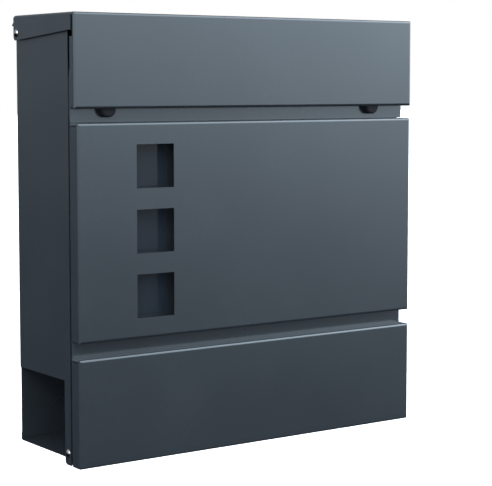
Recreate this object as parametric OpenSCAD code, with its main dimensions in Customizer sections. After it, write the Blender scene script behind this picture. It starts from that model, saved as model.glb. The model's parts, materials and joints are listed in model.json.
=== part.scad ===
// Wall mounted mailbox of folded sheet steel, with a newspaper tube under it.
// The lid lifts for posting, the whole front tips forward for emptying, and a cam lock holds the front shut.
// Left and right are as seen from the front. Inside place(): y is 0 at the rear of the back panel,
// the front faces -Y, and z is 0 at the bottom of the lower cover.

/* [Overall size] */
// Width of the two front covers
width = 370; // [330:1:450]
// Depth from the front of the covers to the rear of the back panel
depth = 111; // [100:1:135]
// Thickness of the sheet steel
sheet = 0.8; // [0.7:0.02:0.96]
// Inner radius of the bends
bend_r = 1.4; // [0.8:0.1:1.7]
// Corner radius of the covers and the lid, seen from the front
face_corner_r = 1.6; // [1.2:0.1:3]

/* [Front] */
// Height of the lower cover
lower_cover_h = 95; // [80:1:115]
// Open strip between the lower cover and the window cover
cover_gap = 13.5; // [11:0.5:17]
// Height of the window cover
window_cover_h = 188; // [160:1:230]
// Open strip between the window cover and the lid
lid_gap = 12; // [10:0.5:15]
// How far the strips lie behind the covers
recess = 13; // [11:0.1:15.6]
// Width of the door pan and the rail short of the covers, on each side
pan_inset = 0.5; // [0.4:0.1:0.8]

/* [Windows] */
// Side of each square window
window_size = 38.2; // [30:0.02:46]
// Distance between window centres
window_pitch = 56.6; // [50:0.2:60]
// Number of windows
window_count = 3; // [1:1:3]
// From the left edge of the cover to the windows
window_inset = 58.4; // [40:0.2:80]
// From the top edge of the cover to the top window
window_drop = 18.8; // [16:0.2:24]
// Thickness of the clear pane
pane_t = 1.5; // [1:0.1:2]
// Overlap of the pane round the windows
pane_lap = 9; // [6:0.5:12]

/* [Lid] */
// Height of the lid's front
lid_h = 81.5; // [67.5:0.1:100]
// How far the lid stands out past the covers, on each side
lid_overhang = 2; // [1.8:0.1:2.5]
// How far the lid's front lies behind the covers
lid_setback = 1.5; // [0.5:0.1:2]
// Depth of the folded hem at the lid's bottom edge
lid_hem = 4.5; // [3.5:0.1:5]
// Depth of the lid's side return behind its front
lid_return = 7; // [5:0.5:9]
// Height of the lid's side flange at its front end
flange_front_h = 15.2; // [13:0.2:18]
// Height of the lid's side flange at the rear
flange_rear_h = 22.2; // [20:0.2:26]
// Height of the cut at the lid's upper front corners
corner_relief_h = 20.5; // [19:0.5:24]
// How far the rear lip reaches back from the end of the lid's top
lip_back = 9.6; // [6:0.2:11]
// How far the rear lip drops
lip_drop = 8.4; // [6:0.2:11]

/* [Body] */
// Gap between the side walls and the covers' inner faces
wall_gap = 0.6; // [0.5:0.1:1]
// From the front of the covers to the front edge of the side walls
post_setback = 18; // [17:0.5:22]
// Width of the narrow post at the front of the newspaper tube
post_w = 10.5; // [9:0.5:14]
// Underside of the newspaper floor above the bottom
newspaper_floor_z = 6; // [5:0.5:8]
// Top of the newspaper tube's side openings above the bottom
tube_top = 73.6; // [60:0.2:85]
// Gap between the top of the body and the underside of the lid
top_gap = 3; // [2:0.5:4]
// Height of the upright lips on the floors
floor_lip = 12; // [8:1:16]
// Width of the corner angle's front leg, inside the front edge of each side wall
angle_w = 9; // [7:0.5:11]
// Length of the corner angle's side leg
angle_leg = 7; // [6:0.5:8]
// Corner angle behind the front edge of the side wall
angle_inset = 0.7; // [0.5:0.1:0.8]
// Height of the rail that carries the lock, above the door
rail_h = 47.5; // [44:0.5:52]
// Depth of the rail's top flange
rail_flange = 11; // [8:0.5:12]

/* [Wall mount] */
// Distance between the wall holes across
hole_span_x = 290; // [200:5:300]
// Distance between the wall holes in height
hole_span_z = 190; // [150:5:200]
// Radius of the wall holes
hole_r = 3.25; // [2.5:0.25:3.5]
// Height of the middle of the wall holes above the bottom
hole_mid_z = 230; // [200:5:240]
// Thickness of the spacers between the back and the wall
spacer_t = 10; // [10:0.5:14]
// Outer radius of the spacers
spacer_r = 9; // [7:0.5:12]

/* [Hinges] */
// Radius of the rivets
rivet_r = 2; // [1.5:0.1:2.4]
// Radius of the rivet heads
rivet_head_r = 3.4; // [3:0.1:4]
// Height of the rivet heads
rivet_head_h = 1.6; // [1:0.1:2]
// Lid pivot in front of the back panel's rear
lid_pivot_in = 6.5; // [6:0.1:8]
// Lid pivot below the lid's top
lid_pivot_drop = 15.6; // [15:0.1:17]
// Door pivot above the bottom
door_pivot_z = 10.4; // [10:0.1:12]
// Thickness of the hinge ears on the door
ear_t = 1.2; // [1:0.1:1.5]

/* [Lock] */
// Height of the lock above the bottom edge of the lid
lock_rise = 13.5; // [12:0.5:15]
// Radius of the lock's barrel
barrel_r = 9; // [8:0.1:10.8]
// Length of the barrel behind the rail's front
barrel_l = 14.6; // [13:0.2:16]
// Radius of the lock's plug
plug_r = 6; // [5:0.25:6.5]
// Length of the cam from the lock's axis
cam_l = 38; // [34:0.1:46]
// Width of the cam
cam_w = 14; // [10:0.5:16]
// Thickness of the cam
cam_t = 2; // [1.5:0.1:2.5]

/* [Bumpers] */
// Radius of the rubber bumpers
bumper_r = 7.6; // [6:0.2:9]
// From the left edge of the covers to the left bumper
bumper_left = 35; // [30:1:60]
// From the right edge of the covers to the right bumper
bumper_right = 42; // [30:1:60]
// Gap between a bumper and the closed lid
bumper_gap = 0.4; // [0.3:0.1:0.6]

/* [Fits] */
// Radial clearance of the parts that turn
run_fit = 0.05; // [0.03:0.01:0.08]
// Radial clearance of the parts that are fixed
fixed_fit = 0.02; // [0.01:0.01:0.04]
// Side play between pieces that move past each other
play = 0.3; // [0.3:0.05:0.4]

/* [Hidden] */
$fn = 48;

steel_colour = "#3d4851";
nickel_colour = "#c4c4be";
zinc_colour = "#a8acb0";
rubber_colour = "#1b1d1f";
nylon_colour = "#202224";
pane_colour = "#8c9aa5";

// Heights, all above the bottom of the lower cover
window_cover_z = lower_cover_h + cover_gap;
window_cover_top = window_cover_z + window_cover_h;
lid_bottom = window_cover_top + lid_gap;
lid_top = lid_bottom + lid_h;
pan_top = window_cover_top - play;
rail_bottom = window_cover_top + play;
rail_top = rail_bottom + rail_h;
rail_edge = 6;
angle_low = 0.4;
angle_high = rail_bottom - 6;
lock_z = lid_bottom + lock_rise;
lid_pivot_z = lid_top - lid_pivot_drop;
mail_floor_top = tube_top + sheet;

// Widths from the middle
half_w = width / 2;
wall_out = half_w - sheet - wall_gap;
wall_in = wall_out - sheet;
pan_half = half_w - pan_inset;
lid_out = half_w + lid_overhang;
angle_in = wall_in - angle_w;
ear_out = angle_in - play;
ear_in = ear_out - ear_t;

// Places in depth
front_y = -depth;
pan_y = front_y + recess;
pan_back = pan_y + sheet;
lid_front = front_y + lid_setback;
wall_front = front_y + post_setback;
post_back = wall_front + post_w;
angle_front = wall_front + angle_inset;
angle_back = angle_front + sheet;
lid_pivot_y = -lid_pivot_in;
door_pivot_y = wall_front + post_w / 2;
lip_start = 3.1;
lid_top_end = lid_pivot_y + lip_start;
lid_rear = -1;
hem_end = lid_front + lid_hem;
bumper_front = hem_end + bumper_gap;
cam_y = pan_y + barrel_l + play;
cam_back = cam_y + cam_t;

// The body's upper rear corner stays inside the circle that the rear lip's underside sweeps
lip_dir = [lip_back, -lip_drop] / norm([lip_back, lip_drop]);
lip_sweep = abs((lid_top_end - lid_pivot_y) * lip_dir.y - lid_pivot_drop * lip_dir.x) - sheet - 2 * play;
wall_top = min(lid_top - sheet - top_gap, lid_pivot_z + sqrt(pow(lip_sweep, 2) - pow(lid_pivot_in, 2)));

// Places of what repeats
outer_r = bend_r + sheet;
tight_r = 0.4;
hem_w = 8;
cover_slit_h = 0.6;
back_flange = 12;
stud_r = 2;
stud_in = 26;
window_stud_low = 22;
lower_stud_low = 36;
lower_stud_high = 32;
stud_slack = 0.2;
nut_across = 7;
nut_t = 3.2;
stud_end = pan_back + nut_t + 1.6;
bush_r = rivet_r + 0.9;
lug_r = bush_r + 1.3;
square_half = 3.4;
bumper_stem_r = 2.5;
floor_rear_h = 7.2;
window_x = -half_w + window_inset + window_size / 2;
window_z = [for (i = [0 : window_count - 1])
    window_cover_top - window_drop - window_size / 2 - i * window_pitch];
wall_holes = [for (i = [-1, 1], j = [-1, 1]) [i * hole_span_x / 2, hole_mid_z + j * hole_span_z / 2]];
stud_x = half_w - stud_in;
window_studs = [for (i = [-1, 1], z = [window_cover_z + window_stud_low, window_cover_top - stud_in])
    [i * stud_x, z]];
lower_studs = [for (i = [-1, 1], z = [lower_stud_low, lower_cover_h - lower_stud_high])
    [i * stud_x, z]];
bumper_places = [[-half_w + bumper_left, lid_bottom], [half_w - bumper_right, lid_bottom]];

// Moves the mailbox so that the middle of the wall holes on the wall is the origin
module place() {
    translate([0, -spacer_t, -hole_mid_z]) children();
}

// Extrudes a (Y, Z) outline along X
module along_x(from, to) {
    translate([from, 0, 0]) rotate([90, 0, 90]) linear_extrude(to - from) children();
}

// Extrudes an (X, Z) outline along Y
module along_y(from, to) {
    translate([0, to, 0]) rotate([90, 0, 0]) linear_extrude(to - from) children();
}

// Extrudes an (X, Y) outline along Z
module along_z(from, to) {
    translate([0, 0, from]) linear_extrude(to - from) children();
}

// A cylinder along X
module rod_x(from, to, r, y, z) {
    translate([from, y, z]) rotate([0, 90, 0]) cylinder(h = to - from, r = r);
}

// A cylinder along Y
module rod_y(from, to, r, x, z) {
    translate([x, to, z]) rotate([90, 0, 0]) cylinder(h = to - from, r = r);
}

module both_sides() {
    children();
    mirror([1, 0, 0]) children();
}

// A rectangle between two corners
module rect(low, high) {
    translate(low) square(high - low);
}

// What a rounded corner removes from a square one; sx and sy point into the material
module corner_cut(p, r, sx, sy) {
    translate(p) scale([sx, sy]) difference() {
        translate([-1, -1]) square(r + 1);
        translate([r, r]) circle(r);
        translate([r, -2]) square([2, r + 4]);
        translate([-2, r]) square([r + 4, 2]);
    }
}

// A rectangle with its own radius at each corner: low left, low right, high left, high right
module soft_rect(low, high, r) {
    difference() {
        rect(low, high);
        if (r[0] > 0) corner_cut(low, r[0], 1, 1);
        if (r[1] > 0) corner_cut([high.x, low.y], r[1], -1, 1);
        if (r[2] > 0) corner_cut([low.x, high.y], r[2], 1, -1);
        if (r[3] > 0) corner_cut(high, r[3], -1, -1);
    }
}

function unit(v) = v / norm(v);
function turned(v, a) = [v.x * cos(a) - v.y * sin(a), v.x * sin(a) + v.y * cos(a)];
function turn_of(a, b) = atan2(a.x * b.y - a.y * b.x, a * b);

// A folded sheet seen from its edge. The path runs along its left face; the sheet is to the right of it.
module fold(path, t = sheet, r = bend_r) {
    last = len(path) - 1;
    dirs = [for (i = [0 : last - 1]) unit(path[i + 1] - path[i])];
    turns = [for (i = [0 : last]) i == 0 || i == last ? 0 : turn_of(dirs[i - 1], dirs[i])];
    trims = [for (a = turns) (a > 0 ? r : r + t) * tan(abs(a) / 2)];
    for (i = [0 : last - 1]) {
        a = path[i] + dirs[i] * trims[i];
        b = path[i + 1] - dirs[i] * trims[i + 1];
        side = turned(dirs[i], -90) * t;
        polygon([a, b, b + side, a + side]);
    }
    for (i = [1 : 1 : last - 1]) {
        left = turns[i] > 0;
        reach = left ? r : r + t;
        from = turned(dirs[i - 1], left ? -90 : 90);
        middle = turned(from, turns[i] / 2);
        to = turned(from, turns[i]);
        centre = path[i] - dirs[i - 1] * trims[i] - from * reach;
        far = 2 * (r + t);
        translate(centre) intersection() {
            difference() {
                circle(r + t);
                circle(r);
            }
            polygon([[0, 0], from * far, middle * far * 1.5, to * far]);
        }
    }
}

// The outside of a folded front, drawn in by inset: w half width, z0 to z1 in height, y0 to y1 in depth
module face_block(w, z0, z1, y0, y1, inset, back_extra = 0, round_bottom = true) {
    r = outer_r - inset;
    c = max(face_corner_r - inset, 0.4);
    bottom_r = round_bottom ? r : 0;
    intersection() {
        along_x(-w - 1, w + 1)
            soft_rect([y0 + inset, z0 + inset], [y1 + back_extra, z1 - inset], [bottom_r, 0, r, 0]);
        along_z(z0 - 1, z1 + 1)
            soft_rect([-w + inset, y0 + inset], [w - inset, y1 + back_extra], [r, r, 0, 0]);
        along_y(y0 - 1, y1 + back_extra + 1)
            soft_rect([-w + inset, z0 + inset], [w - inset, z1 - inset], [c, c, c, c]);
    }
}

// A front cover: a shallow box that is open towards the door pan
module cover_box(z0, z1) {
    difference() {
        face_block(half_w, z0, z1, front_y, pan_y, 0);
        face_block(half_w, z0, z1, front_y, pan_y, sheet, 1);
        // The side flanges stop short of the top flange
        both_sides() translate([half_w - outer_r - 0.1, front_y + outer_r, z1 - outer_r - cover_slit_h])
            cube([outer_r + 1, recess, cover_slit_h]);
    }
}

module window_holes(y0, y1) {
    for (z = window_z)
        translate([window_x - window_size / 2, y0, z - window_size / 2])
            cube([window_size, y1 - y0, window_size]);
}

module wall_outline() {
    difference() {
        polygon([
            [wall_front, 0], [wall_front, wall_top], [0, wall_top],
            [0, tube_top], [post_back, tube_top], [post_back, 0]
        ]);
        corner_cut([post_back, 0], 4, -1, 1);
    }
}

module side_wall() {
    difference() {
        along_x(-wall_out, -wall_in) wall_outline();
        rod_x(-wall_out - 1, -wall_in + 1, rivet_r + fixed_fit, lid_pivot_y, lid_pivot_z);
        rod_x(-wall_out - 1, -wall_in + 1, rivet_r + fixed_fit, door_pivot_y, door_pivot_z);
    }
}

module side_wall_left() {
    color(steel_colour) place() side_wall();
}

module side_wall_right() {
    color(steel_colour) place() mirror([1, 0, 0]) side_wall();
}

// Angle that stiffens the left wall's front edge and closes the gap behind the door's edge
module corner_angle() {
    difference() {
        union() {
            along_z(angle_low, angle_high)
                fold([[-angle_in, angle_front], [-wall_in, angle_front], [-wall_in, angle_front + angle_leg]],
                    sheet, tight_r);
            // Lug round the hinge rivet
            rod_x(-wall_in, -wall_in + sheet, lug_r, door_pivot_y, door_pivot_z);
        }
        rod_x(-wall_in - 1, -wall_in + sheet + 1, rivet_r + fixed_fit, door_pivot_y, door_pivot_z);
    }
}

module corner_angle_left() {
    color(steel_colour) place() corner_angle();
}

module corner_angle_right() {
    color(steel_colour) place() mirror([1, 0, 0]) corner_angle();
}

module back_panel() {
    // Just above the bend of the newspaper floor's rear flange
    back_low = newspaper_floor_z + outer_r;
    color(steel_colour) place() difference() {
        union() {
            // Panel with its side flanges, from the mail floor up
            along_z(mail_floor_top, wall_top - outer_r - 0.4)
                fold([[-wall_in, -back_flange], [-wall_in, 0], [wall_in, 0], [wall_in, -back_flange]]);
            // Panel with its top flange
            along_x(-wall_in + outer_r, wall_in - outer_r)
                fold([[-back_flange, wall_top], [0, wall_top], [0, back_low]]);
            // Edges beside the newspaper tube
            along_y(-sheet, 0)
                rect([-wall_in, back_low], [wall_in, mail_floor_top]);
        }
        for (p = wall_holes)
            rod_y(-sheet - 1, 1, hole_r, p.x, p.y);
        both_sides() rod_x(-wall_in - 1, -wall_in + sheet + 1, rivet_r + fixed_fit, lid_pivot_y, lid_pivot_z);
    }
}

module mail_floor() {
    color(steel_colour) place() {
        floor_front = angle_back + play;
        // Floor with the front lip that keeps letters in
        along_x(-wall_in + outer_r, wall_in - outer_r)
            fold([[floor_front + sheet, tube_top + floor_lip], [floor_front + sheet, mail_floor_top],
                [-sheet, mail_floor_top]]);
        // Side flanges against the walls, clear of the back panel's flanges
        along_y(angle_front + angle_leg + play, -back_flange - 2)
            fold([[-wall_in + sheet, tube_top + floor_lip], [-wall_in + sheet, mail_floor_top],
                [wall_in - sheet, mail_floor_top], [wall_in - sheet, tube_top + floor_lip]]);
    }
}

module newspaper_floor() {
    color(steel_colour) place() {
        // Floor with its front lip and the low flange behind the back panel
        along_x(-ear_in + 3, ear_in - 3)
            fold([[sheet, newspaper_floor_z + floor_rear_h], [sheet, newspaper_floor_z],
                [post_back, newspaper_floor_z], [post_back, newspaper_floor_z + floor_lip]]);
        both_sides() along_x(ear_in - 3, wall_in)
            fold([[sheet, newspaper_floor_z + floor_rear_h], [sheet, newspaper_floor_z],
                [post_back, newspaper_floor_z]]);
    }
}

// The lock's barrel seen from the front, a circle with two flats
module barrel_outline(extra) {
    intersection() {
        circle(barrel_r + extra);
        square([4 * barrel_r, 2 * (barrel_r - 1 + extra)], center = true);
    }
}

module front_rail() {
    tab_t = 1;
    color(steel_colour) place() difference() {
        union() {
            // Upright plate, top flange and its turned down edge
            along_x(-wall_in + tab_t + play, wall_in - tab_t - play)
                fold([[pan_y, rail_bottom], [pan_y, rail_top], [pan_y + rail_flange, rail_top],
                    [pan_y + rail_flange, rail_top - rail_edge]]);
            // Ends of the plate, folded flat
            both_sides() {
                along_z(rail_bottom, rail_top - outer_r - 1) {
                    rect([-pan_half + sheet, pan_y], [-wall_in + tab_t + play, pan_y + sheet]);
                    rect([-pan_half + sheet, pan_y + sheet], [-pan_half + hem_w, pan_y + 2 * sheet]);
                    hem_edge(-1, pan_half);
                }
                // Tab that is welded to the side wall
                translate([-wall_in, pan_y + 2 * sheet, rail_bottom + 4])
                    cube([tab_t, 22, rail_h - 12]);
            }
        }
        for (p = bumper_places) rod_y(pan_y - 1, pan_y + 3, bumper_stem_r + fixed_fit, p.x, p.y);
        translate([0, 0, lock_z]) along_y(pan_y - 1, pan_y + 3) barrel_outline(fixed_fit);
    }
}

// Rounded outer edge of a flat folded hem, seen from above; side is -1 at the left
module hem_edge(side, w) {
    intersection() {
        translate([side * (w - sheet), pan_y + sheet]) circle(sheet);
        translate([side * (w - sheet / 2), pan_y + sheet]) square([sheet, 2 * sheet], center = true);
    }
}

module wall_spacers() {
    color(rubber_colour) place()
        for (p = wall_holes) translate([p.x, spacer_t, p.y]) rotate([90, 0, 0])
            rotate_extrude() soft_rect([hole_r, 0], [spacer_r, spacer_t], [0, 1, 0, 1]);
}

// Rubber bumper: a rounded head on a stem, and a button that snaps in behind the rail
module bumper(p) {
    head = pan_y - bumper_front;
    neck = sheet + 0.2;
    button = 3;
    place() translate([p.x, pan_y, p.y]) rotate([90, 0, 0]) rotate_extrude() {
        soft_rect([0, 0], [bumper_r, head], [0, 0, 0, 1.8]);
        rect([0, -neck], [bumper_stem_r, 0]);
        soft_rect([0, -neck - button], [bumper_stem_r + 1.3, -neck], [0, 1.4, 0, 0]);
    }
}

module bumper_left_pad() {
    color(rubber_colour) bumper(bumper_places[0]);
}

module bumper_right_pad() {
    color(rubber_colour) bumper(bumper_places[1]);
}

module lock_housing() {
    color(zinc_colour) place() difference() {
        union() {
            translate([0, pan_y, lock_z]) rotate([90, 0, 0]) rotate_extrude()
                soft_rect([0, 0], [barrel_r + 1.6, 2.4], [0, 0, 0, 1]);
            translate([0, 0, lock_z]) along_y(pan_y, pan_y + barrel_l) barrel_outline(0);
        }
        rod_y(pan_y - 5, pan_y + barrel_l + 1, plug_r + run_fit, 0, lock_z);
    }
}

module lock_nut() {
    nut_r = barrel_r + fixed_fit;
    color(zinc_colour) place() difference() {
        translate([0, pan_back + 4, lock_z]) rotate([90, 0, 0])
            cylinder(h = 4, r = (barrel_r + 3.2) / cos(30), $fn = 6);
        rod_y(pan_back - 1, pan_back + 5, nut_r, 0, lock_z);
    }
}

// A rivet along X at the left side: the head outside at x0, its tail inside at x1
module rivet_left(x0, x1, y, z) {
    rod_x(x0, x1, rivet_r, y, z);
    translate([x0, y, z]) rotate([0, -90, 0]) rotate_extrude() intersection() {
        dome_r = (rivet_head_r * rivet_head_r + rivet_head_h * rivet_head_h) / (2 * rivet_head_h);
        translate([0, rivet_head_h - dome_r]) circle(dome_r, $fn = 96);
        square([rivet_head_r + 1, rivet_head_h]);
    }
    translate([x1, y, z]) rotate([0, 90, 0]) rotate_extrude()
        soft_rect([0, 0], [rivet_head_r - 0.4, 1.2], [0, 0, 0, 0.6]);
}

module lid_rivets() {
    color(nickel_colour) place() both_sides()
        rivet_left(-lid_out - play, -wall_in + sheet, lid_pivot_y, lid_pivot_z);
}

module lid_washers() {
    color(nylon_colour) place() both_sides() difference() {
        rod_x(-lid_out + sheet + play, -wall_out, 5, lid_pivot_y, lid_pivot_z);
        rod_x(-lid_out, -wall_out + 1, rivet_r + fixed_fit, lid_pivot_y, lid_pivot_z);
    }
}

module door_rivets() {
    color(nickel_colour) place() both_sides()
        rivet_left(-wall_out, -ear_in + play, door_pivot_y, door_pivot_z);
}

module door_bushes() {
    color(nylon_colour) place() both_sides() difference() {
        rod_x(-wall_in + sheet, -ear_out - play, bush_r, door_pivot_y, door_pivot_z);
        rod_x(-wall_in, -ear_out, rivet_r + fixed_fit, door_pivot_y, door_pivot_z);
    }
}

// Lower edge of the lid's side flange at a depth behind the lid's front
function flange_z(d) = lid_top - flange_front_h
    - (flange_rear_h - flange_front_h) * (d - 12) / (lid_rear - lid_front - 12);

module lid_shell() {
    return_end = lid_front + lid_return;
    slit_w = 4.9 - outer_r;
    slit_front = lid_front + outer_r;
    rear_r = 4;
    lip_end = [lid_top_end + lip_back, lid_top - lip_drop];
    color(steel_colour) place() difference() {
        union() {
            difference() {
                face_block(lid_out, lid_bottom, lid_top, lid_front, lid_rear, 0);
                face_block(lid_out, lid_bottom, lid_top, lid_front, lid_rear, sheet, 1);
                // The top ends where the rear lip starts
                along_x(-lid_out - 1, lid_out + 1)
                    polygon([[lid_top_end, lid_top + 1], [lid_top_end, lid_top], lip_end, [5, lid_top + 1]]);
            }
            along_x(-lid_out + outer_r, lid_out - outer_r)
                fold([[lid_top_end - 8, lid_top], [lid_top_end, lid_top], lip_end]);
        }
        // Below the side flanges and behind the side returns
        along_x(-lid_out - 1, lid_out + 1) polygon([
            [return_end, lid_bottom - 1], [return_end, flange_z(return_end - lid_front)],
            [lid_rear + 1, flange_z(lid_rear + 1 - lid_front)], [lid_rear + 1, lid_bottom - 1]
        ]);
        // Rounded lower rear corner of each side flange
        along_x(-lid_out - 1, lid_out + 1)
            corner_cut([lid_rear, flange_z(lid_rear - lid_front)], rear_r, -1, 1);
        // Behind the bottom hem
        translate([-lid_out + sheet, hem_end, lid_bottom - 1])
            cube([2 * (lid_out - sheet), lid_return, 1 + sheet]);
        both_sides() translate([-lid_out - 1, 0, 0]) {
            // Slit between the front and the side flange
            translate([0, slit_front, lid_top - corner_relief_h])
                cube([1 + outer_r, slit_w, corner_relief_h - outer_r]);
            translate([0, slit_front, lid_top - corner_relief_h])
                cube([1 + outer_r, lid_return, corner_relief_h - flange_front_h]);
        }
        both_sides() rod_x(-lid_out - 1, -lid_out + sheet + 1, rivet_r + run_fit, lid_pivot_y, lid_pivot_z);
    }
}

module door_pan() {
    foot = 24;
    foot_half = angle_in - play;
    pan_low = 1.2;
    color(steel_colour) place() difference() {
        union() {
            // Plate, narrower between the posts
            along_y(pan_y, pan_back) {
                rect([-pan_half + sheet, foot], [pan_half - sheet, pan_top]);
                rect([-foot_half, pan_low], [foot_half, foot]);
            }
            // Flat folded hems along the sides
            both_sides() along_z(foot, pan_top) {
                rect([-pan_half + sheet, pan_back], [-pan_half + hem_w, pan_back + sheet]);
                hem_edge(-1, pan_half);
            }
            // Hems along the top and the bottom
            along_y(pan_back, pan_back + sheet) {
                rect([-pan_half + hem_w, pan_top - hem_w], [pan_half - hem_w, pan_top]);
                rect([-foot_half + 14, pan_low], [foot_half - 14, pan_low + hem_w]);
            }
        }
        window_holes(pan_y - 1, pan_back + 1);
        for (p = concat(window_studs, lower_studs))
            rod_y(pan_y - 1, pan_back + 3, stud_r + stud_slack, p.x, p.y);
    }
}

module window_cover() {
    color(steel_colour) place() difference() {
        cover_box(window_cover_z, window_cover_top);
        window_holes(front_y - 1, front_y + sheet + 1);
    }
}

module lower_cover() {
    color(steel_colour) place() cover_box(0, lower_cover_h);
}

module window_pane() {
    half = window_size / 2 + pane_lap;
    color(pane_colour, 0.4) place() along_y(pan_back, pan_back + pane_t)
        soft_rect([window_x - half, window_z[window_count - 1] - half],
            [window_x + half, window_z[0] + half], [2, 2, 2, 2]);
}

module pane_retainers() {
    half = window_size / 2 + pane_lap;
    color(zinc_colour) place() for (side = [-1, 1])
        translate([window_x + side * (half - 3), 0, 0]) scale([side, 1, 1])
            along_z(window_z[window_count - 1] - half + 6, window_z[0] + half - 6)
                fold([[-1, pan_back + pane_t + sheet], [3.4 + sheet, pan_back + pane_t + sheet],
                    [3.4 + sheet, pan_back + sheet], [14, pan_back + sheet]], sheet, tight_r);
}

// Hinge ear at the left: a foot on the pan and an ear that turns on the rivet
module hinge_ear() {
    boss_r = 4.5;
    ear_top = door_pivot_z + 13;
    difference() {
        union() {
            along_x(-ear_out, -ear_in) union() {
                translate([door_pivot_y, door_pivot_z]) circle(boss_r);
                polygon([[pan_back, door_pivot_z - 2], [door_pivot_y, door_pivot_z - boss_r],
                    [door_pivot_y + boss_r, door_pivot_z], [pan_back + 3, ear_top], [pan_back, ear_top]]);
            }
            translate([-ear_out, pan_back, door_pivot_z - 2]) cube([12, ear_t, ear_top - door_pivot_z + 2]);
        }
        rod_x(-ear_out - 1, -ear_in + 1, rivet_r + run_fit, door_pivot_y, door_pivot_z);
    }
}

module hinge_ear_left() {
    color(steel_colour) place() hinge_ear();
}

module hinge_ear_right() {
    color(steel_colour) place() mirror([1, 0, 0]) hinge_ear();
}

// Hook behind the door pan that the cam reaches into when it points down
module strike() {
    strike_t = 1.2;
    strike_half = 14;
    hook_y = cam_back + play + 0.7;
    hook_top = pan_top - 4;
    shelf_z = lock_z - cam_l - 5;
    color(zinc_colour) place() both_sides() along_x(-strike_half, 0)
        fold([[pan_back, shelf_z - 20], [pan_back, shelf_z],
            [hook_y, shelf_z], [hook_y, hook_top]], strike_t);
}

// Weld studs behind a cover
module studs(places) {
    color(zinc_colour) place() for (p = places)
        rod_y(front_y + sheet, stud_end, stud_r, p.x, p.y);
}

module nuts(places) {
    color(zinc_colour) place() for (p = places) difference() {
        translate([p.x, pan_back + nut_t, p.y]) rotate([90, 0, 0])
            cylinder(h = nut_t, r = nut_across / 2 / cos(30), $fn = 6);
        rod_y(pan_back - 1, pan_back + nut_t + 1, stud_r + fixed_fit, p.x, p.y);
    }
}

module window_cover_studs() {
    studs(window_studs);
}

module window_cover_nuts() {
    nuts(window_studs);
}

module lower_cover_studs() {
    studs(lower_studs);
}

module lower_cover_nuts() {
    nuts(lower_studs);
}

module lock_plug() {
    plug_front = pan_y - 2.9;
    color(nickel_colour) place() difference() {
        union() {
            rod_y(plug_front, cam_y, plug_r, 0, lock_z);
            translate([-square_half, cam_y, lock_z - square_half])
                cube([2 * square_half, cam_t, 2 * square_half]);
        }
        // Keyway
        translate([-3.6, plug_front - 1, lock_z - 0.8]) cube([7.2, 12, 1.6]);
        // Hole for the cam screw
        rod_y(cam_back - 9, cam_back + 1, 1.5 + fixed_fit, 0, lock_z);
    }
}

module lock_cam() {
    slack = square_half + fixed_fit;
    color(zinc_colour) place() translate([0, 0, lock_z]) along_y(cam_y, cam_back) difference() {
        union() {
            circle(cam_w / 2 + 1.5);
            translate([0, -cam_w / 2]) square([cam_l - cam_w / 2, cam_w]);
            translate([cam_l - cam_w / 2, 0]) circle(cam_w / 2);
        }
        square(2 * slack, center = true);
    }
}

module cam_screw() {
    color(zinc_colour) place() difference() {
        union() {
            rod_y(cam_back - 8, cam_back, 1.5, 0, lock_z);
            rod_y(cam_back, cam_back + 2.4, 5, 0, lock_z);
        }
        // Cross recess
        for (a = [0, 90]) translate([0, cam_back + 2, lock_z]) rotate([0, a, 0])
            cube([5, 1.6, 1.1], center = true);
    }
}

side_wall_left();
side_wall_right();
corner_angle_left();
corner_angle_right();
back_panel();
mail_floor();
newspaper_floor();
front_rail();
wall_spacers();
bumper_left_pad();
bumper_right_pad();
lock_housing();
lock_nut();
lid_rivets();
lid_washers();
door_rivets();
door_bushes();
lid_shell();
door_pan();
window_cover();
lower_cover();
window_pane();
pane_retainers();
hinge_ear_left();
hinge_ear_right();
strike();
window_cover_studs();
window_cover_nuts();
lower_cover_studs();
lower_cover_nuts();
lock_plug();
lock_cam();
cam_screw();
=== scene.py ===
import bpy
import json
import math
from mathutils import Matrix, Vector


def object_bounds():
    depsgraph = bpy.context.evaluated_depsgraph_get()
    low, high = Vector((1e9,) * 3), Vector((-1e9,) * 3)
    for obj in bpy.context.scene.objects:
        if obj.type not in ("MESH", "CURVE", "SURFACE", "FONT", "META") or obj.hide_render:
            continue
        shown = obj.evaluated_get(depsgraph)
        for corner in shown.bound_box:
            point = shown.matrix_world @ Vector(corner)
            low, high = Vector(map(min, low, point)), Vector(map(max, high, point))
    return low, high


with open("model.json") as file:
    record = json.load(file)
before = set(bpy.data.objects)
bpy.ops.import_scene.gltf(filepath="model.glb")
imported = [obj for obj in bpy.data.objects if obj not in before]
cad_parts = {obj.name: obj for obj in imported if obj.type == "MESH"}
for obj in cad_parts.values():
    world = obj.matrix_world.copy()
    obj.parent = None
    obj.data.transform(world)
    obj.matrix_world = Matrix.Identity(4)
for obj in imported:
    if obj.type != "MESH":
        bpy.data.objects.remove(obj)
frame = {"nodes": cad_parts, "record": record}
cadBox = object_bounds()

print("mailbox frame loaded:", len(frame["nodes"]), "pieces")

# Where the camera stands, in metres from the middle of the wall holes
cameraPlan = {
    "place": (-0.84495, -1.29382, 0.10013),
    "turn": 35.416,     # degrees to the right of straight at the wall
    "tilt": 4.853,      # degrees downwards
    "lens": 116.47,
    "shiftUp": -0.05,
    "reach": 200,       # metres that it sees
}

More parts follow.
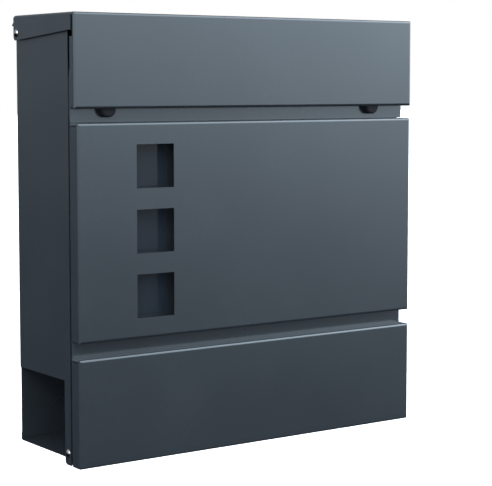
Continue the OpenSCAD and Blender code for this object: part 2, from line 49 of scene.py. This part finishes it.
# The studio all round: white above the eye line in front, fading out below it and towards the wall.
# Heights and sides are parts of a direction of length 1.
roomPlan = {
    "colour": (0.93, 1.0, 1.06),
    "strength": 3.1,
    "fade": 2.15,                # above 1, the room stays dim for longer on the way up
    "rise": (-0.262, 0.087),     # from dark to full, in height
    "over": (0.20, 0.50),        # from plain to brighter, overhead
    "overPart": 1.5,
    "wall": (-0.25, 0.20),       # from full to dim, towards the wall
    "wallPart": (0.14, 0.02),    # how dim, at the left and at the right
    "wallSide": (-0.2, 0.3),     # where left passes into right
    "right": (0.52, 0.82),       # from plain to brighter, towards the right
    "rightPart": 2.3,
    "soft": (3.0, -0.4),         # even light for matt surfaces, at the left and at the right
    "softLow": (-0.8, 0.1),      # from dark to full, in height
    "paper": (1.0, 1.0, 1.0),    # the white that the eye sees behind the mailbox
    "paperGlow": 1.0,
}

# Small soft box: side angle (0 in front, 90 at the right), height angle, distance, size, brightness
lightPlan = {
    "upperLeft": {"side": -62, "height": 34, "away": 2.2, "wide": 0.30, "tall": 0.50, "glow": 22.0},
}


def addNode(tree, kind, values=None, **settings):
    # A shader node with its settings, and its unlinked sockets by name
    made = tree.nodes.new(kind)
    for name, value in settings.items():
        setattr(made, name, value)
    for name, value in (values or {}).items():
        made.inputs[name].default_value = value
    return made


def newMaterial(name):
    material = bpy.data.materials.new(name)
    material.use_nodes = True
    tree = material.node_tree
    surface = tree.nodes["Principled BSDF"]
    return material, tree, surface


def grainNode(tree, place, size, detail=3.0, roughness=0.55):
    # Noise whose lumps are about this many metres across
    noise = addNode(tree, "ShaderNodeTexNoise",
                    {"Scale": 1 / size, "Detail": detail, "Roughness": roughness})
    tree.links.new(place, noise.inputs["Vector"])
    return noise.outputs["Fac"]


def spreadNode(tree, source, low, high, fromLow=0.3, fromHigh=0.7):
    spread = addNode(tree, "ShaderNodeMapRange",
                     {"From Min": fromLow, "From Max": fromHigh, "To Min": low, "To Max": high})
    tree.links.new(source, spread.inputs["Value"])
    return spread.outputs["Result"]


def blendNode(tree, factor, first, second):
    mix = addNode(tree, "ShaderNodeMix", data_type="RGBA")
    mix.inputs["A"].default_value = (*first, 1)
    mix.inputs["B"].default_value = (*second, 1)
    tree.links.new(factor, mix.inputs["Factor"])
    return mix.outputs["Result"]


def bumpNode(tree, height, depth, strength, under=None):
    bump = addNode(tree, "ShaderNodeBump", {"Strength": strength, "Distance": depth})
    tree.links.new(height, bump.inputs["Height"])
    if under:
        tree.links.new(under, bump.inputs["Normal"])
    return bump.outputs["Normal"]


def mathNode(tree, operation, first, second):
    # Second is a number or another node's output
    made = addNode(tree, "ShaderNodeMath", operation=operation)
    tree.links.new(first, made.inputs[0])
    if isinstance(second, float):
        made.inputs[1].default_value = second
    else:
        tree.links.new(second, made.inputs[1])
    return made.outputs[0]


def ownPlace(tree):
    return addNode(tree, "ShaderNodeTexCoord").outputs["Object"]


def spotColour(tree, surface, spots, first, second):
    # Two close colours that pass into each other along the noise
    colour = blendNode(tree, spreadNode(tree, spots, 0, 1), first, second)
    tree.links.new(colour, surface.inputs["Base Color"])


def spotRoughness(tree, surface, spots, rough):
    tree.links.new(spreadNode(tree, spots, *rough), surface.inputs["Roughness"])


# Anthracite powder coat, satin, with the fine skin that baked powder has
coatPlan = {
    "dark": (0.0128, 0.0158, 0.0196),
    "light": (0.0160, 0.0194, 0.0236),
    "cloudSize": 0.09,
    "skinSize": 0.0016,
    "skinDepth": 0.00002,
    "skinStrength": 0.25,
    "dustSize": 0.00035,
    "dustDepth": 0.000008,
    "dustStrength": 0.2,
    "rough": (0.17, 0.21),
    "shine": 1.6,
    "shineTint": (0.80, 0.92, 1.0),
}


def powderCoat():
    plan = coatPlan
    material, tree, surface = newMaterial("anthracite_coat")
    place = ownPlace(tree)
    cloud = grainNode(tree, place, plan["cloudSize"], 4)
    skin = grainNode(tree, place, plan["skinSize"], 2)
    dust = grainNode(tree, place, plan["dustSize"], 1)
    spotColour(tree, surface, cloud, plan["dark"], plan["light"])
    spotRoughness(tree, surface, skin, plan["rough"])
    skinBump = bumpNode(tree, skin, plan["skinDepth"], plan["skinStrength"])
    dustBump = bumpNode(tree, dust, plan["dustDepth"], plan["dustStrength"], skinBump)
    tree.links.new(dustBump, surface.inputs["Normal"])
    surface.inputs["IOR"].default_value = plan["shine"]
    surface.inputs["Specular Tint"].default_value = (*plan["shineTint"], 1)
    return material


# Plated metals: bright nickel on the rivets and the plug, dull zinc on the hidden hardware.
# Finer says how many times finer than the mottle the bump is.
platePlan = {
    "bright_nickel": {"dark": (0.40, 0.39, 0.37), "light": (0.60, 0.58, 0.55), "rough": (0.14, 0.26),
                      "mottle": 0.0025, "finer": 6, "depth": 0.00002, "strength": 0.3},
    "dull_zinc": {"dark": (0.42, 0.44, 0.46), "light": (0.62, 0.64, 0.66), "rough": (0.32, 0.52),
                  "mottle": 0.0018, "finer": 6, "depth": 0.00003, "strength": 0.3},
}


def platedMetal(name):
    plan = platePlan[name]
    material, tree, surface = newMaterial(name)
    place = ownPlace(tree)
    mottle = grainNode(tree, place, plan["mottle"], 5, 0.65)
    fine = grainNode(tree, place, plan["mottle"] / plan["finer"], 2)
    spotColour(tree, surface, mottle, plan["dark"], plan["light"])
    spotRoughness(tree, surface, mottle, plan["rough"])
    tree.links.new(bumpNode(tree, fine, plan["depth"], plan["strength"]), surface.inputs["Normal"])
    surface.inputs["Metallic"].default_value = 1.0
    return material


# Moulded black parts: smooth rubber bumpers and spacers, plainer nylon washers and bushes.
# Bloom says how many times wider than the grain the spots of colour are.
mouldPlan = {
    "black_rubber": {"dark": (0.008, 0.009, 0.011), "light": (0.013, 0.014, 0.017), "rough": (0.20, 0.28),
                     "gloss": 0.07, "grain": 0.0012, "bloom": 8, "depth": 0.00001, "strength": 0.25},
    "black_nylon": {"dark": (0.014, 0.014, 0.015), "light": (0.022, 0.022, 0.023), "rough": (0.42, 0.55),
                    "gloss": 0.5, "grain": 0.0006, "bloom": 8, "depth": 0.00002, "strength": 0.25},
}


def mouldedBlack(name):
    plan = mouldPlan[name]
    material, tree, surface = newMaterial(name)
    place = ownPlace(tree)
    grain = grainNode(tree, place, plan["grain"], 4)
    bloom = grainNode(tree, place, plan["grain"] * plan["bloom"], 3)
    spotColour(tree, surface, bloom, plan["dark"], plan["light"])
    spotRoughness(tree, surface, bloom, plan["rough"])
    tree.links.new(bumpNode(tree, grain, plan["depth"], plan["strength"]), surface.inputs["Normal"])
    surface.inputs["Specular IOR Level"].default_value = plan["gloss"]
    return material


# The acrylic sheet behind the windows, tinted dark and only partly clear, which darkens the view into the
# box
panePlan = {
    "tint": (0.019, 0.026, 0.036),
    "faint": (0.016, 0.022, 0.031),
    "clear": 0.35,
    "rough": (0.03, 0.06),
    "smearSize": 0.01,
    "waveSize": 0.03,
    "waveDepth": 0.0001,
    "waveStrength": 0.03,
    "shine": 1.49,
    "gloss": 0.07,
}


def acrylicPane():
    plan = panePlan
    material, tree, surface = newMaterial("clear_acrylic")
    place = ownPlace(tree)
    wave = grainNode(tree, place, plan["waveSize"], 2)
    smear = grainNode(tree, place, plan["smearSize"], 4)
    spotColour(tree, surface, smear, plan["tint"], plan["faint"])
    spotRoughness(tree, surface, smear, plan["rough"])
    tree.links.new(bumpNode(tree, wave, plan["waveDepth"], plan["waveStrength"]), surface.inputs["Normal"])
    surface.inputs["Transmission Weight"].default_value = plan["clear"]
    surface.inputs["IOR"].default_value = plan["shine"]
    surface.inputs["Specular IOR Level"].default_value = plan["gloss"]
    return material


finishes = {
    "coated_steel": powderCoat(),
    "nickel": platedMetal("bright_nickel"),
    "zinc": platedMetal("dull_zinc"),
    "rubber": mouldedBlack("black_rubber"),
    "nylon": mouldedBlack("black_nylon"),
    "clear_pane": acrylicPane(),
}


def finishFrame():
    # Every sheet and fitting takes the finish that its record slot names
    slotOf = {part["node"]: part["material_slot"] for part in frame["record"]["subparts"]}
    for name, piece in frame["nodes"].items():
        for slot in piece.material_slots:
            slot.material = finishes[slotOf[name]]
        if not piece.material_slots:
            piece.data.materials.append(finishes[slotOf[name]])
    print("finishes laid on", len(slotOf), "pieces")


# The floor lies far below, as it does under a mailbox on a wall
floorPlan = {"drop": 1.0, "half": 60.0, "white": (0.9, 0.9, 0.9), "rough": 0.9, "glow": 0.5}


def layFloor():
    low = cadBox[0].z - floorPlan["drop"]
    half = floorPlan["half"]
    mesh = bpy.data.meshes.new("floor")
    corners = [(-half, -half, low), (half, -half, low), (half, half, low), (-half, half, low)]
    mesh.from_pydata(corners, [], [(0, 1, 2, 3)])
    floor = bpy.data.objects.new("floor", mesh)
    bpy.context.scene.collection.objects.link(floor)
    material, _, surface = newMaterial("pale_floor")
    surface.inputs["Base Color"].default_value = (*floorPlan["white"], 1)
    surface.inputs["Roughness"].default_value = floorPlan["rough"]
    surface.inputs["Emission Color"].default_value = (1, 1, 1, 1)
    surface.inputs["Emission Strength"].default_value = floorPlan["glow"]
    mesh.materials.append(material)
    floor.visible_glossy = False
    floor.visible_diffuse = False


def hangPanel(name, plan, middle):
    # A soft box that faces the mailbox
    side = math.radians(plan["side"])
    height = math.radians(plan["height"])
    away = Vector((math.sin(side) * math.cos(height), -math.cos(side) * math.cos(height), math.sin(height)))
    panel = bpy.data.lights.new(name, "AREA")
    panel.shape = "RECTANGLE"
    panel.size = plan["wide"]
    panel.size_y = plan["tall"]
    panel.energy = plan["glow"] * math.pi * plan["wide"] * plan["tall"]
    lamp = bpy.data.objects.new(name, panel)
    lamp.location = middle + away * plan["away"]
    lamp.rotation_mode = "QUATERNION"
    lamp.rotation_quaternion = away.to_track_quat("Z", "Y")
    lamp.visible_camera = False
    bpy.context.scene.collection.objects.link(lamp)


def paperWorld():
    # White paper for the eye, and the studio's shaded walls for the light
    plan = roomPlan
    world = bpy.data.worlds.new("studio")
    world.use_nodes = True
    tree = world.node_tree
    way = addNode(tree, "ShaderNodeSeparateXYZ")
    tree.links.new(addNode(tree, "ShaderNodeTexCoord").outputs["Generated"], way.inputs[0])
    rise = mathNode(tree, "POWER", spreadNode(tree, way.outputs["Z"], 0, 1, *plan["rise"]), plan["fade"])
    over = spreadNode(tree, way.outputs["Z"], plan["strength"], plan["strength"] * plan["overPart"],
                      *plan["over"])
    full = mathNode(tree, "MULTIPLY", rise, over)
    dim = spreadNode(tree, way.outputs["X"], *plan["wallPart"], *plan["wallSide"])
    wall = spreadNode(tree, way.outputs["Y"], 1, 0, *plan["wall"])
    wall = mathNode(tree, "MAXIMUM", wall, dim)
    right = spreadNode(tree, way.outputs["X"], 1, plan["rightPart"], *plan["right"])
    room = tree.nodes["Background"]
    room.inputs["Color"].default_value = (*plan["colour"], 1)
    sides = mathNode(tree, "MULTIPLY", wall, right)
    tree.links.new(mathNode(tree, "MULTIPLY", full, sides), room.inputs["Strength"])
    soft = addNode(tree, "ShaderNodeBackground", {"Color": (*plan["colour"], 1)})
    softSide = spreadNode(tree, way.outputs["X"], *plan["soft"], -1, 1)
    softRise = spreadNode(tree, way.outputs["Z"], 0, 1, *plan["softLow"])
    tree.links.new(mathNode(tree, "MULTIPLY", softSide, softRise), soft.inputs["Strength"])
    path = addNode(tree, "ShaderNodeLightPath")
    light = addNode(tree, "ShaderNodeMixShader")
    tree.links.new(path.outputs["Is Diffuse Ray"], light.inputs["Fac"])
    tree.links.new(room.outputs["Background"], light.inputs[1])
    tree.links.new(soft.outputs["Background"], light.inputs[2])
    paper = addNode(tree, "ShaderNodeBackground",
                    {"Color": (*plan["paper"], 1), "Strength": plan["paperGlow"]})
    either = addNode(tree, "ShaderNodeMixShader")
    tree.links.new(path.outputs["Is Camera Ray"], either.inputs["Fac"])
    tree.links.new(light.outputs["Shader"], either.inputs[1])
    tree.links.new(paper.outputs["Background"], either.inputs[2])
    tree.links.new(either.outputs["Shader"], tree.nodes["World Output"].inputs["Surface"])
    bpy.context.scene.world = world


def lightStudio():
    middle = (cadBox[0] + cadBox[1]) / 2
    for name, plan in lightPlan.items():
        hangPanel(name, plan, middle)
    paperWorld()
    bpy.context.scene.view_settings.view_transform = "Standard"
    print("studio lit")


def setCamera():
    camera = bpy.data.cameras.new("camera")
    camera.lens = cameraPlan["lens"]
    camera.shift_y = cameraPlan["shiftUp"]
    camera.clip_end = cameraPlan["reach"]
    holder = bpy.data.objects.new("camera", camera)
    holder.location = cameraPlan["place"]
    holder.rotation_euler = (math.radians(90 - cameraPlan["tilt"]), 0, -math.radians(cameraPlan["turn"]))
    bpy.context.scene.collection.objects.link(holder)
    bpy.context.scene.camera = holder
    print("camera set")


setCamera()
finishFrame()
layFloor()
lightStudio()
